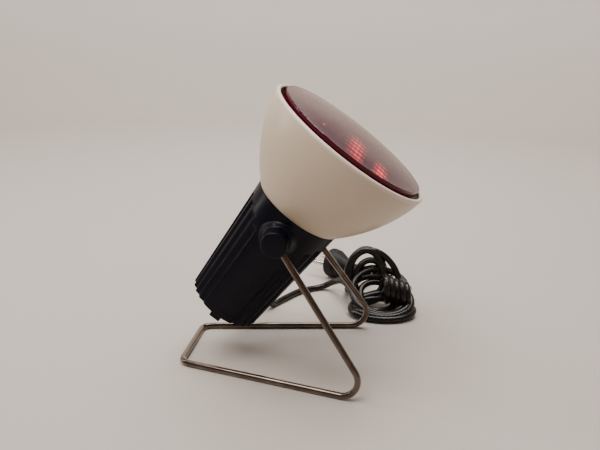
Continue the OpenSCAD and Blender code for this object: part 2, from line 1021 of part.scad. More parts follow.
// Slack cord from the grommet down to the floor and round to the coil.
module cord_lead() {
    start = housing_radius(cord_z) + grommet_out + 0.5;
    coil_gap = 0.02;
    path = curve_through(
        [
            cord_way(start - 10), cord_way(start), cord_way(start + 6), cord_way(start + 12),
            [-26, 67, 30], [-27, 78, 12], [-23, 89, floor_z], [-15, 104, floor_z],
            [-3, 124, floor_z], [15, 138, floor_z], [32, 138, floor_z + 7],
            [41, 124, floor_z + 16], coil_point(-coil_gap), coil_point(0.1)
        ],
        6
    );
    color([0.05, 0.05, 0.05])
        swept_tube(concat(path, [coil_point(-coil_gap)]), cord_r, cord_sides);
}

module at_plug() {
    translate(plug_pos)
        rotate([0, 0, plug_turn])
            children();
}

// Moulded round plug; its pins point to -x and its sleeve ends in the cord.
module plug_body() {
    color([0.05, 0.05, 0.05])
        at_plug()
            rotate([0, 90, 0])
                rotate_extrude()
                    polygon([
                        [0, 0], [plug_r - 1, 0], [plug_r, 1], [plug_r - 1, 9],
                        [plug_r - 6, plug_len - 8], [5.5, plug_len], [4.5, plug_len + plug_sleeve],
                        [0, plug_len + plug_sleeve]
                    ]);
}

module plug_pins() {
    color("silver")
        at_plug()
            for (side = [1, -1])
                translate([0, side * pin_spacing / 2, 0])
                    rotate([0, -90, 0]) {
                        cylinder(h = pin_len - 1, r = pin_r);
                        translate([0, 0, pin_len - 1])
                            cylinder(h = 1, r1 = pin_r, r2 = pin_r - 0.8);
                    }
}

wire_stand();
pivot_cap_left();
pivot_cap_right();
friction_washers();
spring_washers();
retaining_rings();
cord_lead();
cord_coil();
plug_body();
plug_pins();
housing();
rear_cap();
rear_cap_screws();
pivot_bushes();
shade();
shade_clamp_ring();
shade_screws();
holder_plate();
plate_screws();
lampholder_body();
lampholder_screws();
lampholder_sleeve();
centre_contact();
terminal_blocks();
terminal_screws();
cord_grommet();
cord_tail();
cord_clamp();
cord_clamp_screws();
lead_live();
lead_neutral();
bulb_lens();
bulb_reflector();
bulb_skirt();
bulb_screw_cap();
bulb_insulator();
bulb_contact();
bulb_stem();
filament();
filament_supports();
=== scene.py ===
"""Visual model of a tabletop infrared heat lamp, in the same frame as its CAD model.

Lengths are in millimetres until a mesh is made. Lamp pieces are drawn in the lamp's own
frame: z along the lamp axis towards the light, x towards the underside, y to the left.
"""
import json
import math
import random

import bmesh
import bpy
from mathutils import Matrix, Vector


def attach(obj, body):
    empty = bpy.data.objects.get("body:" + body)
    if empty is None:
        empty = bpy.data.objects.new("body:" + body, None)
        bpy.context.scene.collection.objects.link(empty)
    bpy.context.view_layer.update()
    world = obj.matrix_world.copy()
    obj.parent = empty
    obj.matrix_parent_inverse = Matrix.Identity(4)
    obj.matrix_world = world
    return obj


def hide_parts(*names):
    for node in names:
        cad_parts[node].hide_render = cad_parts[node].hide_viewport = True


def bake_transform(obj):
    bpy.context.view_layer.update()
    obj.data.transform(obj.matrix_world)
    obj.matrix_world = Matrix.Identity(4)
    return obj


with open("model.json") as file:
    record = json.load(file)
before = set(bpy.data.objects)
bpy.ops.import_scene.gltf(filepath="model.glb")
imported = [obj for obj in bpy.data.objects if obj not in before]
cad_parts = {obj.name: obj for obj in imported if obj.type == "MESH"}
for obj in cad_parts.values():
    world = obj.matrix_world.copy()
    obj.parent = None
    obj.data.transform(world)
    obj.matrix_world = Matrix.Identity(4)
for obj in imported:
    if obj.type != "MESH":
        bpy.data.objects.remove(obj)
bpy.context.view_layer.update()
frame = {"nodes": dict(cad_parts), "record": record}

MM = 0.001

# ------------------------------------------------------------------ frame

JOINTS = {joint["name"]: joint for joint in frame["record"]["behaviour"]["joints"]}
PIVOT = Vector(JOINTS["tilt"]["pos_m"])
AXIS = Vector(JOINTS["bulb_removal"]["axis"]).normalized()
UNDERSIDE = Vector((AXIS.z, 0, -AXIS.x))
LEFT = Vector((0, 1, 0))
LAMP = Matrix.Translation(PIVOT) @ Matrix((UNDERSIDE, LEFT, AXIS)).transposed().to_4x4()
WORLD = Matrix.Identity(4)

# ------------------------------------------------------------------ sizes, in mm

WIRE_R = 2.5
PIVOT_HALF_W = 44
PIVOT_H = PIVOT.z / MM
FOOT_FRONT = 76.5
FOOT_REAR = 75
FOOT_FRONT_HALF_W = 64.5
FOOT_REAR_HALF_W = 32.5
AXLE_END = 24
WIRE_BENDS = [3.5, 13, 9, 9, 13, 3.5]

CAP_R = 9.7
CAP_WALL = 2
CAP_FACE = 51.2
CAP_MOUTH = 40
CAP_SLOT = 20

HOUSING_SIDES = 480
HOUSING_R = 34.7
TAPER = 0.0665
WALL = 3
COLLAR_Z = 17.4
SPLIT_Z = -76
REAR_Z = -82.5
REAR_ROUNDING = 1.8
LEDGE_HOLE_R = 22
FRONT_LEDGE_Z = 9.55
REAR_LEDGE_Z = -55.5
WALL_HOLE_SPAN = (24, 42)
GROOVE_PITCH = 14.4
GROOVES_PER_SIDE = 4
GROOVE_HALF_W = 3.1
GROOVE_DEPTH = 2.2
GROOVE_TOP_Z = 10
GROOVE_STEP = 0.9
GROOVE_RUNOUT = 4

BOSS_FACE = 39.45
BOSS_FOOT = 29.5
BOSS_RISE = 10.2
BOSS_R = 10.3
BOSS_FOOT_R = 16
BOSS_BLEND_R = 18

VENTS = 6
VENT_PITCH = 5
REAR_SCREW_R = 23.5
REAR_SCREW_TURNS = (130, 310)
LUG_Y = 26

SHADE_R = 66.4
RIM_Z = 81
SHADE_DEPTH = 86
SHADE_POWER = 1.556
SHADE_WALL = 1.4
SHADE_FLOOR_Z = 9.6
SHADE_HOLE_R = 22.3
BEAD_R = 1.6
BEAD_PROUD = 0.2

LENS_R = 60.5
LENS_Z = 84.5
LENS_TIP_Z = 91.7
LENS_WALL = 4
REFLECTOR_FOCAL = 11.92
REFLECTOR_VERTEX_Z = 4.73
REFLECTOR_BACK_Z = 9.5
REFLECTOR_RIM_Z = 77
REFLECTOR_WALL = 2
PRISM_PITCH = 2.6
STRIPE_PITCHES = {"Y": 6.0, "X": 3.2}
# Stretch of the painted red glints along the lens's y axis.
PAINTED_GLINT_STRETCH = 2.1

HOLE_GAP = 0.05
SCREW_R = 1.5
SCREW_HEAD_R = 3
BUSH_R = 4.5
CLAMP_SCREW_TURNS = (0, 120, 240)
CLAMP_SCREW_AT = 24.9
PLATE_SCREW_AT = 24.5

CORD_R = 3
SLEEVE_R = 5
CORD_ENTRY_TURN = 72
CORD_Z = -67
SLEEVE_OUT = 14
PLUG_TURN = -30
PIN_R = 2.4
PIN_HALF_PITCH = 9.5
PIN_LENGTH = 18.2

HANK = Vector((72, 113, 0))
HANK_SIDE = Vector((0.991, 0.131, 0))
HANK_BACK = Vector((-0.131, 0.991, 0))

FLOOR_R = 1150
FLOOR_CURVE_R = 450
FLOOR_HEIGHT = 1600


def housing_radius(z):
    return HOUSING_R + TAPER * z


def shade_radius(z):
    reach = ((RIM_Z - z) / SHADE_DEPTH) ** SHADE_POWER
    return SHADE_R * (1 - reach) ** (1 / SHADE_POWER)


def reflector_radius(z):
    return math.sqrt(4 * REFLECTOR_FOCAL * (z - REFLECTOR_VERTEX_Z))


# ------------------------------------------------------------------ mesh helpers


def mesh_object(name, points, faces, matrix=WORLD, sharp=35):
    """Closed mesh from points in mm, with clean normals and smooth shading up to an angle."""
    mesh = bpy.data.meshes.new(name)
    mesh.from_pydata([Vector(p) * MM for p in points], [], faces)
    shape = bmesh.new()
    shape.from_mesh(mesh)
    bmesh.ops.remove_doubles(shape, verts=shape.verts, dist=1e-7)
    bmesh.ops.dissolve_degenerate(shape, dist=1e-8, edges=shape.edges)
    bmesh.ops.recalc_face_normals(shape, faces=shape.faces)
    shape.to_mesh(mesh)
    shape.free()
    piece = bpy.data.objects.new(name, mesh)
    bpy.context.collection.objects.link(piece)
    piece.matrix_world = matrix
    shade_smooth(piece, sharp)
    return piece


def shade_smooth(piece, sharp=35):
    mesh = piece.data
    mesh.polygons.foreach_set("use_smooth", [True] * len(mesh.polygons))
    mesh.set_sharp_from_angle(angle=math.radians(sharp))


def loft(name, rings, matrix=WORLD, loop=False, sharp=35):
    """Skin over rings of equally many points; open ends get a cap."""
    count = len(rings[0])
    points = [p for ring in rings for p in ring]
    last = len(rings) if loop else len(rings) - 1
    faces = [
        (
            i * count + k,
            i * count + (k + 1) % count,
            (i + 1) % len(rings) * count + (k + 1) % count,
            (i + 1) % len(rings) * count + k,
        )
        for i in range(last)
        for k in range(count)
    ]
    if not loop:
        faces.append(tuple(range(count - 1, -1, -1)))
        faces.append(tuple(range(len(points) - count, len(points))))
    return mesh_object(name, points, faces, matrix, sharp)


def circle(radius, z, sides):
    return [
        (radius * math.cos(2 * math.pi * k / sides), radius * math.sin(2 * math.pi * k / sides), z)
        for k in range(sides)
    ]


def lathe(name, profile, matrix=LAMP, sides=128, sharp=35):
    """Solid of revolution about z from a closed profile of (radius, z) corners."""
    return loft(name, [circle(r, z, sides) for r, z in profile], matrix, True, sharp)


def filleted(points, radii, step=math.radians(6)):
    """Path through corners, each corner with a radius replaced by an arc."""
    points = [Vector(p) for p in points]
    path = [points[0]]
    for before, corner, after, radius in zip(points, points[1:], points[2:], radii):
        to_before = (before - corner).normalized()
        to_after = (after - corner).normalized()
        half = to_before.angle(to_after) / 2
        if radius == 0:
            path.append(corner)
            continue
        centre = corner + (to_before + to_after).normalized() * radius / math.sin(half)
        first = corner + to_before * radius / math.tan(half) - centre
        second = corner + to_after * radius / math.tan(half) - centre
        turn = math.pi - 2 * half
        steps = max(2, math.ceil(turn / step))
        for i in range(steps + 1):
            t = i / steps
            arm = first * math.sin((1 - t) * turn) + second * math.sin(t * turn)
            path.append(centre + arm / math.sin(turn))
    path.append(points[-1])
    return path


def rounded_profile(corners):
    """Closed (radius, z) profile from corners (radius, z, rounding)."""
    flat = [(r, z, 0) for r, z, _ in corners]
    rounding = [c[2] for c in corners]
    ring = [flat[-1]] + flat + [flat[0]]
    path = filleted(ring, rounding, math.radians(15))[1:-1]
    return [(p.x, p.y) for p in path]


def curve_through(points, steps):
    """Smooth path through all but the first and the last of the points."""
    p = [Vector(q) for q in points]
    path = []
    for i in range(1, len(p) - 2):
        for k in range(steps):
            t = k / steps
            path.append(
                0.5
                * (
                    2 * p[i]
                    + (p[i + 1] - p[i - 1]) * t
                    + (2 * p[i - 1] - 5 * p[i] + 4 * p[i + 1] - p[i + 2]) * t**2
                    + (3 * p[i] - p[i - 1] - 3 * p[i + 1] + p[i + 2]) * t**3
                )
            )
    path.append(p[-2])
    return path


def tube(name, path, radius, matrix=WORLD, sides=24, end_rounding=0.0):
    """Round tube along a path, its section carried on without twisting."""
    path = [Vector(p) for p in path]
    tangents = [
        (path[min(i + 1, len(path) - 1)] - path[max(i - 1, 0)]).normalized()
        for i in range(len(path))
    ]
    side = tangents[0].orthogonal().normalized()
    rings = []
    for point, tangent in zip(path, tangents):
        side = (side - tangent * side.dot(tangent)).normalized()
        up = tangent.cross(side)
        rings.append([point + side * x + up * y for x, y, _ in circle(radius, 0, sides)])
    if end_rounding:
        rings = rounded_ends(rings, path, tangents, end_rounding)
    return loft(name, rings, matrix)


def rounded_ends(rings, path, tangents, rounding, steps=4):
    """Adds a rounded edge to both ends of a tube's rings."""
    head = []
    tail = []
    for i in range(steps):
        a = math.pi / 2 * i / steps
        out = rounding * math.cos(a)
        shrink = rounding * (1 - math.sin(a))
        head.append(shrunk(rings[0], path[0], -tangents[0] * out, shrink))
        tail.append(shrunk(rings[-1], path[-1], tangents[-1] * out, shrink))
    return head + rings + tail[::-1]


def shrunk(ring, centre, shift, amount):
    """Ring moved by a shift, with its points drawn in towards the centre."""
    return [p + (centre - p).normalized() * amount + shift for p in ring]


def cut(piece, cutters, sharp=35):
    """Takes the cutters out of the piece and removes them."""
    group = bpy.data.collections.new("cutters")
    for cutter in cutters:
        group.objects.link(cutter)
    step = piece.modifiers.new("cut", "BOOLEAN")
    step.operation = "DIFFERENCE"
    step.solver = "MANIFOLD"
    step.operand_type = "COLLECTION"
    step.collection = group
    bake(piece)
    for cutter in cutters:
        bpy.data.objects.remove(cutter, do_unlink=True)
    bpy.data.collections.remove(group)
    shade_smooth(piece, sharp)


def hole(start, end, radius):
    """Cutter for a round hole between two points of the lamp's frame."""
    return tube("hole", [start, end], radius + HOLE_GAP, LAMP, 96)


def on_circle(radius, turn, z):
    """Point at a radius from the lamp axis, at a turn in degrees from the underside."""
    return (radius * math.cos(math.radians(turn)), radius * math.sin(math.radians(turn)), z)


def bake(piece):
    """Replaces the piece's mesh with the result of its modifiers."""
    bpy.context.view_layer.update()
    made = bpy.data.meshes.new_from_object(
        piece.evaluated_get(bpy.context.evaluated_depsgraph_get())
    )
    piece.modifiers.clear()
    piece.data = made


def block(name, low, high, matrix, bevel):
    """Box with rounded edges, in mm."""
    low = Vector(low)
    size = Vector(high) - low
    shape = bmesh.new()
    bmesh.ops.create_cube(shape, size=1)
    for vert in shape.verts:
        vert.co = Vector((vert.co[i] + 0.5) * size[i] for i in range(3)) + low
    bmesh.ops.bevel(
        shape, geom=shape.edges, offset=bevel, segments=3, profile=0.5, affect="EDGES"
    )
    points = [tuple(vert.co) for vert in shape.verts]
    faces = [tuple(vert.index for vert in face.verts) for face in shape.faces]
    shape.free()
    return mesh_object(name, points, faces, matrix)


def smooth_step(t):
    t = max(0.0, min(1.0, t))
    return t * t * (3 - 2 * t)


def soft_max(a, b, width):
    mix = max(width - abs(a - b), 0) / width
    return max(a, b) + mix * mix * width / 4


def soft_min(a, b, width):
    return -soft_max(-a, -b, width)


def finish_piece(piece, body, slot, *nodes):
    """Gives a piece its material, its body and the CAD nodes it stands for."""
    piece.data.materials.clear()
    piece.data.materials.append(LOOKS[slot])
    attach(piece, body)
    if nodes:
        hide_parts(*nodes)


# ------------------------------------------------------------------ materials


class Look:
    """A Principled material that is built up node by node."""

    def __init__(self, name, color, roughness, metallic=0.0, **inputs):
        self.material = bpy.data.materials.new(name)
        self.material.use_nodes = True
        self.material.diffuse_color = (*color, 1)
        self.tree = self.material.node_tree
        self.shader = self.tree.nodes["Principled BSDF"]
        self.color = color
        self.set("Base Color", (*color, 1))
        self.set("Roughness", roughness)
        self.set("Metallic", metallic)
        for key, value in inputs.items():
            self.set(key.replace("_", " "), value)
        self.coords = self.node("ShaderNodeTexCoord").outputs["Object"]

    def set(self, socket, value):
        self.shader.inputs[socket].default_value = value

    def node(self, kind, **values):
        made = self.tree.nodes.new(kind)
        for key, value in values.items():
            if key in made.inputs:
                made.inputs[key].default_value = value
            else:
                setattr(made, key, value)
        return made

    def link(self, a, b):
        self.tree.links.new(a, b)

    def noise(self, scale, detail=3.0, roughness=0.5, stretch=(1, 1, 1)):
        """Noise in object space, scale in waves per metre."""
        mapping = self.node("ShaderNodeMapping")
        mapping.inputs["Scale"].default_value = stretch
        self.link(self.coords, mapping.inputs["Vector"])
        made = self.node("ShaderNodeTexNoise")
        made.inputs["Scale"].default_value = scale
        made.inputs["Detail"].default_value = detail
        made.inputs["Roughness"].default_value = roughness
        self.link(mapping.outputs["Vector"], made.inputs["Vector"])
        return made.outputs["Fac"]

    def span(self, value, low, high, first=0.0, last=1.0):
        """Maps first..last of a value to low..high."""
        made = self.node("ShaderNodeMapRange")
        for key, number in zip(
            ("From Min", "From Max", "To Min", "To Max"), (first, last, low, high)
        ):
            made.inputs[key].default_value = number
        self.link(value, made.inputs["Value"])
        return made.outputs["Result"]

    def mix(self, value, first, second):
        """Colour that goes from first to second as value goes from 0 to 1."""
        made = self.node("ShaderNodeMix", data_type="RGBA")
        self.link(value, made.inputs["Factor"])
        colour_inputs = [s for s in made.inputs if s.type == "RGBA"]
        for socket, color in zip(colour_inputs, (first, second)):
            if isinstance(color, tuple):
                socket.default_value = (*color, 1)
            else:
                self.link(color, socket)
        return [s for s in made.outputs if s.type == "RGBA"][0]

    def calculate(self, operation, *values):
        """Result of a Math node on numbers or sockets."""
        made = self.node("ShaderNodeMath", operation=operation)
        for socket, value in zip(made.inputs, values):
            if isinstance(value, float):
                socket.default_value = value
            else:
                self.link(value, socket)
        return made.outputs[0]

    def sum(self, a, b):
        return self.calculate("ADD", a, b)

    def product(self, a, b):
        return self.calculate("MULTIPLY", a, b)

    def patches(self, scale, detail=4.0, low=0.0, high=1.0):
        """Soft patches between low and high."""
        return self.span(self.noise(scale, detail), low, high, 0.3, 0.7)

    def place(self, axis):
        """Distance along one of the object's axes, in metres."""
        split = self.node("ShaderNodeSeparateXYZ")
        self.link(self.coords, split.inputs[0])
        return split.outputs[axis]

    def distance(self, x=0.0, y=0.0, stretch=1.0):
        """Distance from a line along z, with the y direction drawn together by a stretch."""
        flat = self.node("ShaderNodeVectorMath", operation="MULTIPLY")
        self.link(self.coords, flat.inputs[0])
        flat.inputs[1].default_value = (1, 1 / stretch, 0)
        made = self.node("ShaderNodeVectorMath", operation="DISTANCE")
        self.link(flat.outputs[0], made.inputs[0])
        made.inputs[1].default_value = (x * MM, y / stretch * MM, 0)
        return made.outputs["Value"]

    def paint(self, color):
        self.link(color, self.shader.inputs["Base Color"])

    def rough(self, value):
        self.link(value, self.shader.inputs["Roughness"])

    def bump(self, height, distance, strength=1.0):
        """Adds a bump of a height in mm."""
        made = self.node("ShaderNodeBump")
        made.inputs["Strength"].default_value = strength
        made.inputs["Distance"].default_value = distance * MM
        self.link(height, made.inputs["Height"])
        normal = self.shader.inputs["Normal"]
        if normal.is_linked:
            self.link(normal.links[0].from_socket, made.inputs["Normal"])
        self.link(made.outputs["Normal"], normal)


def shades(color, low, high):
    """A darker and a lighter shade of a colour."""
    return tuple(c * low for c in color), tuple(min(1, c * high) for c in color)


def cream_enamel():
    look = Look("cream_enamel", (0.56, 0.455, 0.345), 0.36, Coat_Weight=0.15, Coat_Roughness=0.3)
    body = look.mix(look.patches(14), *shades(look.color, 0.95, 1.04))
    # Painted highlight: the rolled rim is painted lighter where it catches the light from above.
    at_rim = look.span(look.place("Z"), 0, 1, (RIM_Z - 1.5) * MM, (RIM_Z - 0.5) * MM)
    rim = (0.66, 0.56, 0.47)
    look.paint(look.mix(at_rim, body, rim))
    look.rough(look.span(look.noise(60, 5), 0.32, 0.44))
    look.bump(look.noise(900, 3), 0.012)
    return look.material


def black_plastic():
    look = Look("black_plastic", (0.0022, 0.0022, 0.0055), 0.30, Specular_IOR_Level=0.13)
    dust = look.span(look.noise(90, 4), 0, 1, 0.35, 0.75)
    look.paint(look.mix(dust, *shades(look.color, 0.85, 1.5)))
    look.rough(look.patches(40, 5, 0.27, 0.34))
    look.bump(look.noise(1800, 2), 0.02)
    return look.material


def chromed_wire():
    """Old chrome with a painted reflection: deep brown where it faces the eye, painted pale along its
    edges, with fine streaks.
    """
    look = Look("chromed_wire", (0.19, 0.15, 0.125), 0.09, 1.0)
    layer = look.node("ShaderNodeLayerWeight")
    layer.inputs["Blend"].default_value = 0.5
    # Painted reflection: the facing mask paints the edges pale and the middle deep brown.
    edge = look.span(layer.outputs["Facing"], 0, 1, 0.25, 0.85)
    stains = look.patches(70, 5, -0.15, 0.15)
    painted_facing_reflection = (0.105, 0.080, 0.066)
    painted_edge_reflection = (0.46, 0.39, 0.335)
    look.paint(look.mix(look.sum(edge, stains), painted_facing_reflection, painted_edge_reflection))
    look.rough(look.patches(400, 4, 0.05, 0.15))
    look.bump(look.noise(1500, 3), 0.004)
    return look.material


def cord_sheath():
    look = Look("cord_sheath", (0.008, 0.006, 0.005), 0.26, Specular_IOR_Level=0.3)
    look.rough(look.patches(160, 4, 0.16, 0.34))
    look.bump(look.noise(700, 2), 0.03)
    return look.material


def black_rubber():
    look = Look("black_rubber", (0.004, 0.004, 0.005), 0.5, Specular_IOR_Level=0.25)
    look.rough(look.patches(120, 4, 0.42, 0.6))
    look.bump(look.noise(2200, 2), 0.03)
    return look.material


def metal(name, color, roughness, grain=600, stretch=(1, 1, 1)):
    look = Look(name, color, roughness, 1.0)
    wear = look.noise(grain, 4, stretch=stretch)
    look.rough(look.span(wear, roughness * 0.7, roughness * 1.35, 0.3, 0.7))
    look.paint(look.mix(look.patches(90), *shades(color, 0.85, 1.08)))
    look.bump(look.noise(grain * 2, 3, stretch=stretch), 0.006)
    return look.material


def plain_plastic(name, color, roughness, **inputs):
    look = Look(name, color, roughness, **inputs)
    look.rough(look.patches(200, 4, roughness * 0.8, roughness * 1.2))
    look.paint(look.mix(look.patches(60), *shades(color, 0.92, 1.05)))
    look.bump(look.noise(1500, 3), 0.01)
    return look.material


RED_GLASS = (0.045, 0.0008, 0.008)
# Painted light: faint red emission on the lens and the reflector's rim, so the red glass shows where
# no light reaches it.
RED_PAINTED_GLOW = (1, 0.0, 0.08, 1)
RED_PAINTED_GLOW_STRENGTH = 0.013


def lens_glass():
    """Red stained glass under fine prisms, with faint painted red emission; a painted reflection of
    the room greys its face, not its edge.
    """
    look = Look("lens_glass", (0.10, 0.002, 0.012), 0.10, IOR=1.5, Transmission_Weight=0.6)
    look.set("Specular IOR Level", 0.25)
    look.set("Emission Color", RED_PAINTED_GLOW)
    look.set("Emission Strength", RED_PAINTED_GLOW_STRENGTH)
    look.bump(ribs(look, PRISM_PITCH, "Y"), 0.05)
    look.bump(look.noise(700, 2), 0.04)
    both = look.node("ShaderNodeMixShader")
    face = look.span(look.distance(), 0.94, 0.0, (LENS_R - 1.6) * MM, (LENS_R - 0.5) * MM)
    look.link(face, both.inputs[0])
    look.link(look.shader.outputs[0], both.inputs[1])
    look.link(painted_lens_sheen(look), both.inputs[2])
    look.link(both.outputs[0], look.tree.nodes["Material Output"].inputs["Surface"])
    return look.material


def painted_lens_sheen(look):
    """Painted reflection of the room on the lens face, purple on the near side and painted lighter on
    the far side.
    """
    painted_sheen = look.node("ShaderNodeBsdfPrincipled")
    # Painted reflection: lighter grey towards the far side, where the face reflects the pale room.
    sheen_side = look.span(look.place("Y"), 0, 1, -LENS_R * MM, 0.4 * LENS_R * MM)
    clouds = look.patches(35, 4, -0.12, 0.12)
    purple = (0.050, 0.016, 0.030)
    grey = (0.205, 0.135, 0.115)
    look.link(look.mix(look.sum(sheen_side, clouds), purple, grey), painted_sheen.inputs["Base Color"])
    painted_sheen.inputs["Roughness"].default_value = 0.26
    painted_sheen.inputs["Specular IOR Level"].default_value = 0.11
    # Painted red glints: the sheen's red emission, in fixed spots.
    painted_sheen.inputs["Emission Color"].default_value = (1, 0.022, 0.04, 1)
    look.link(painted_red_glints(look), painted_sheen.inputs["Emission Strength"])
    look.link(look.shader.inputs["Normal"].links[0].from_socket, painted_sheen.inputs["Normal"])
    return painted_sheen.outputs[0]


def painted_red_glints(look):
    """Painted red glints: red emission in fixed spots on the lens, standing for light that the
    reflector throws back, broken up by its prisms.
    """
    spots = [
        # x, y, radius in mm, and strength
        (3, -40, 11, 2.6),
        (-1, -30, 7, 0.6),
        (6, -55, 7, 2.0),
        (25, -46, 9, 3.4),
        (-24, -41, 2, 1.2),
    ]
    total = None
    for x, y, size, strength in spots:
        fade = look.span(look.distance(x, y, PAINTED_GLINT_STRETCH), 1, 0, 0, size * MM)
        spot = look.product(fade, look.span(fade, 0, strength))
        total = spot if total is None else look.sum(total, spot)
    stripes = look.product(
        look.span(ribs(look, STRIPE_PITCHES["Y"], "Y"), 0.0, 1.2, -1, 1),
        look.span(ribs(look, STRIPE_PITCHES["X"], "X"), 0.45, 1.1, -1, 1),
    )
    patches = look.span(look.noise(110, 3), 0.5, 1.2, 0.35, 0.65)
    return look.product(look.product(total, stripes), patches)


def ribs(look, pitch, axis):
    """Wave along an axis, from -1 to 1, once every pitch in mm."""
    phase = look.product(look.place(axis), 2 * math.pi / (pitch * MM))
    return look.calculate("SINE", phase)


def mirrored_glass():
    """Silvered bowl whose rim is red glass like the lens, with faint painted red emission on that
    rim.
    """
    silver = (0.85, 0.80, 0.78)
    look = Look("mirrored_glass", silver, 0.08, 1.0)
    look.rough(look.span(look.noise(80, 3), 0.05, 0.16))
    look.bump(look.noise(120, 2), 0.08)
    at_rim = look.span(look.place("Z"), 0, 1, (REFLECTOR_RIM_Z - 5) * MM, REFLECTOR_RIM_Z * MM)
    look.paint(look.mix(at_rim, silver, RED_GLASS))
    look.link(look.span(at_rim, 1, 0), look.shader.inputs["Metallic"])
    look.set("Specular IOR Level", 0.2)
    look.set("Emission Color", RED_PAINTED_GLOW)
    look.link(look.span(at_rim, 0, RED_PAINTED_GLOW_STRENGTH), look.shader.inputs["Emission Strength"])
    return look.material


def clear_glass():
    look = Look("clear_glass", (0.9, 0.93, 0.93), 0.04, IOR=1.5, Transmission_Weight=1.0)
    look.bump(look.noise(150, 2), 0.05)
    return look.material


LOOKS = {
    "chromed_wire": chromed_wire(),
    "nickel": metal("nickel", (0.66, 0.62, 0.56), 0.18),
    "black_plastic": black_plastic(),
    "fibre": plain_plastic("fibre", (0.35, 0.20, 0.10), 0.8),
    "steel": metal("steel", (0.55, 0.55, 0.56), 0.30),
    "nylon": plain_plastic("nylon", (0.72, 0.69, 0.60), 0.45),
    "cord_sheath": cord_sheath(),
    "black_rubber": black_rubber(),
    "cream_enamel": cream_enamel(),
    "white_ceramic": plain_plastic("white_ceramic", (0.80, 0.79, 0.74), 0.22, Coat_Weight=0.5),
    "brass": metal("brass", (0.72, 0.50, 0.20), 0.28),
    "aluminium": metal("aluminium", (0.72, 0.72, 0.72), 0.34, 500, (1, 1, 6)),
    "brown_insulation": plain_plastic("brown_insulation", (0.20, 0.08, 0.03), 0.35),
    "blue_insulation": plain_plastic("blue_insulation", (0.03, 0.10, 0.42), 0.35),
    "lens_glass": lens_glass(),
    "mirrored_glass": mirrored_glass(),
    "black_glass": plain_plastic("black_glass", (0.02, 0.015, 0.02), 0.15, Coat_Weight=0.6),
    "clear_glass": clear_glass(),
    "tungsten": metal("tungsten", (0.30, 0.30, 0.31), 0.40),
}

# ------------------------------------------------------------------ stand


def upright_top(side):
    return Vector((0, side * PIVOT_HALF_W, PIVOT_H))


def front_corner(side):
    return Vector((FOOT_FRONT, side * FOOT_FRONT_HALF_W, WIRE_R))


def rear_corner(side):
    return Vector((-FOOT_REAR, side * FOOT_REAR_HALF_W, WIRE_R))


def make_wire():
    corners = [
        (0, -AXLE_END, PIVOT_H),
        upright_top(-1),
        front_corner(-1),
        rear_corner(-1),
        rear_corner(1),
        front_corner(1),
        upright_top(1),
        (0, AXLE_END, PIVOT_H),
    ]
    path = filleted(corners, WIRE_BENDS, math.radians(4))
    wire = tube("stand_wire", path, WIRE_R, sides=32, end_rounding=0.4)
    finish_piece(wire, "stand", "chromed_wire", "wire_stand")


def make_pivot_cap(side, name, node):
    """Hollow cap with a rounded face; the wire leaves through a slot in its rim."""
    turn = Matrix.Rotation(-side * math.pi / 2, 4, "X")
    matrix = Matrix.Translation(PIVOT) @ turn
    inner_r = CAP_R - CAP_WALL
    inner_face = CAP_FACE - CAP_WALL
    profile = rounded_profile(
        [
            (0, CAP_FACE, 0),
            (CAP_R, CAP_FACE, 1.3),
            (CAP_R, CAP_MOUTH, 0.3),
            (inner_r, CAP_MOUTH, 0.2),
            (inner_r, inner_face, 0.5),
            (0, inner_face, 0),
        ]
    )
    cap = lathe(name, profile, matrix, 96)
    top = upright_top(side)
    slot_end = top + (front_corner(side) - top).normalized() * CAP_SLOT
    cut(cap, [tube("slot", [top, slot_end], WIRE_R + 0.15)])
    finish_piece(cap, "stand", "black_plastic", node)


# ------------------------------------------------------------------ housing


def groove_depth(angle, z):
    """Depth of the grooves at an angle in degrees from the underside."""
    from_band = (angle + 90) % 180 - 90
    nearest = round(from_band / GROOVE_PITCH)
    if abs(nearest) > GROOVES_PER_SIDE:
        return 0.0
    off = math.radians(abs(from_band - nearest * GROOVE_PITCH)) * housing_radius(z)
    if off > GROOVE_HALF_W:
        return 0.0
    start = GROOVE_TOP_Z - GROOVE_STEP * nearest * nearest
    end = smooth_step((start - z) / GROOVE_RUNOUT)
    return GROOVE_DEPTH * end * math.sqrt(1 - (off / GROOVE_HALF_W) ** 2)


def boss_height(reach):
    """Height of a pivot boss over the lamp axis, at a distance from the tilt axis."""
    inward = max(0.0, (BOSS_FOOT_R - reach) / (BOSS_FOOT_R - BOSS_R))
    flare = BOSS_FOOT + BOSS_RISE * inward**1.3
    return soft_min(BOSS_FACE, flare, 0.8)


def housing_point(angle, z, radius):
    """Point of the outer surface, with grooves and with the pivot bosses blended in."""
    a = math.radians(angle)
    r = soft_min(radius, housing_radius(z) - groove_depth(angle, z), 0.15)
    x = r * math.cos(a)
    y = r * math.sin(a)
    reach = math.hypot(x, z)
    if reach < BOSS_BLEND_R and abs(y) > BOSS_BLEND_R:
        y = math.copysign(soft_max(abs(y), boss_height(reach), 1.6), y)
    return (x, y, z)


def housing_ring(radius, z):
    return [housing_point(360 * k / HOUSING_SIDES, z, radius) for k in range(HOUSING_SIDES)]


def bore_corner(z):
    """Radius and z of the housing's inside wall."""
    return (housing_radius(z) - WALL, z)


